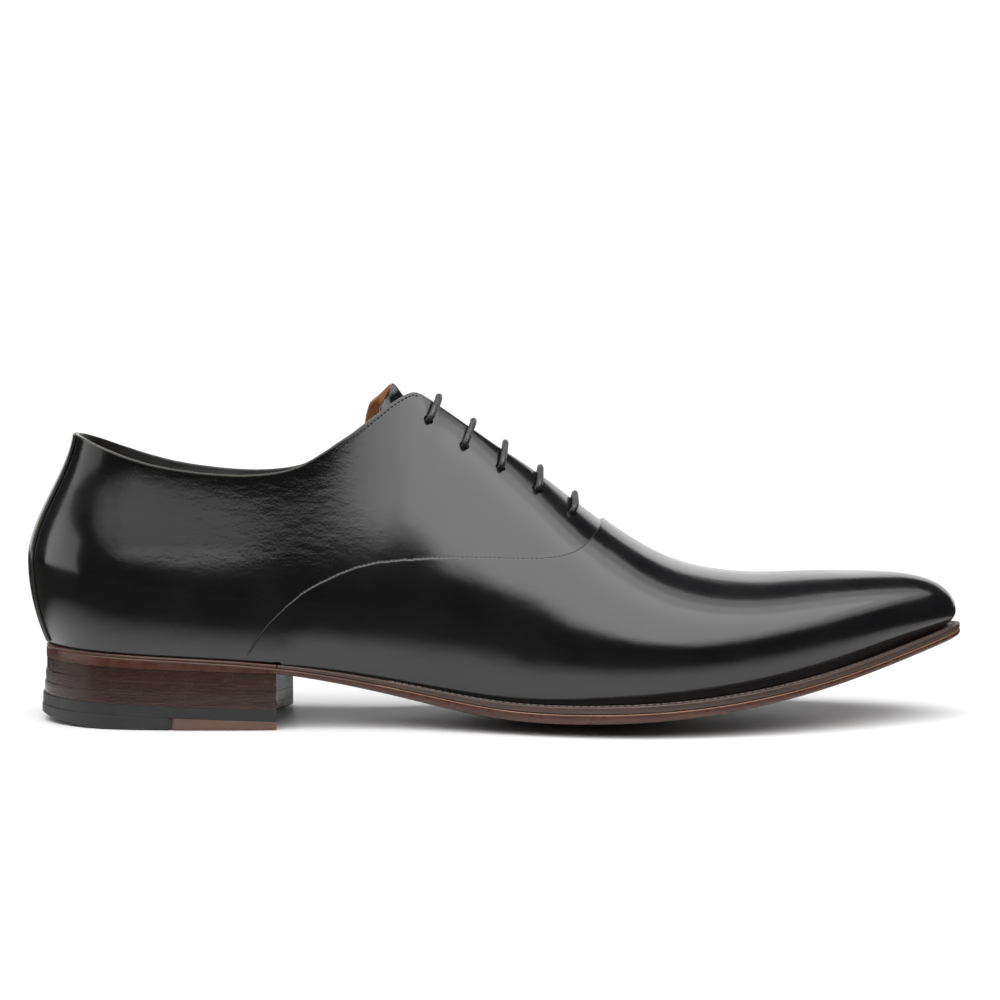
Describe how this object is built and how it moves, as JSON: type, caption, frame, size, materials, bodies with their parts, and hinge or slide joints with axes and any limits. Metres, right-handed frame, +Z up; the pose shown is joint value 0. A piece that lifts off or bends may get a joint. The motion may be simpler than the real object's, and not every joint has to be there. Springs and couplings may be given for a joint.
{
  "type": "leather oxford shoe",
  "caption": "Black polished plain-toe leather oxford with closed lacing, tan lining, welted leather sole and stacked leather heel.",
  "frame": {"origin": "centre of the shoe's footprint on the ground", "axes": "+X towards the toe, +Y towards the medial side, +Z up from the ground"},
  "size_m": [0.3119, 0.104, 0.1115],
  "materials": {
    "upper_leather": "gloss",
    "lining_leather": "satin",
    "sole_leather": "satin",
    "welt_leather": "satin",
    "heel_stack": "satin",
    "heel_rubber": "matte",
    "insole_board": "matte",
    "cork": "matte",
    "steel": "satin",
    "brass": "satin",
    "lace_cotton": "satin"
  },
  "bodies": {
    "shoe": {"quarter_lateral": "upper_leather", "quarter_medial": "upper_leather", "vamp": "upper_leather", "back_strip": "upper_leather", "quarter_lining_lateral": "lining_leather", "quarter_lining_medial": "lining_leather", "vamp_lining": "lining_leather", "sock_lining": "lining_leather", "facing_stay_lateral": "insole_board", "facing_stay_medial": "insole_board", "toe_puff": "insole_board", "heel_counter": "insole_board", "insole": "insole_board", "outsole": "sole_leather", "welt": "welt_leather", "heel_rand": "welt_leather", "top_piece_leather": "welt_leather", "heel_lift_1": "heel_stack", "heel_lift_2": "heel_stack", "heel_lift_3": "heel_stack", "rubber_lift": "heel_rubber", "top_piece_rubber": "heel_rubber", "cork_filler": "cork", "shank": "steel", "lace": "lace_cotton", "eyelet_lateral_1": "brass", "eyelet_lateral_2": "brass", "eyelet_lateral_3": "brass", "eyelet_lateral_4": "brass", "eyelet_lateral_5": "brass", "eyelet_medial_1": "brass", "eyelet_medial_2": "brass", "eyelet_medial_3": "brass", "eyelet_medial_4": "brass", "eyelet_medial_5": "brass", "heel_nail_1": "steel", "heel_nail_2": "steel", "heel_nail_3": "steel", "heel_nail_4": "steel", "heel_nail_5": "steel"},
    "tongue": {"tongue": "upper_leather", "tongue_lining": "lining_leather"}
  },
  "joints": [
    {"name": "tongue_hinge", "type": "hinge", "parent": "shoe", "child": "tongue", "pos_m": [0.042, 0.002, 0.0535], "axis": [0, -1, 0], "range_deg": [0, 12], "stiffness_Nm_per_rad": 0.05, "springref_deg": -11.46}
  ]
}
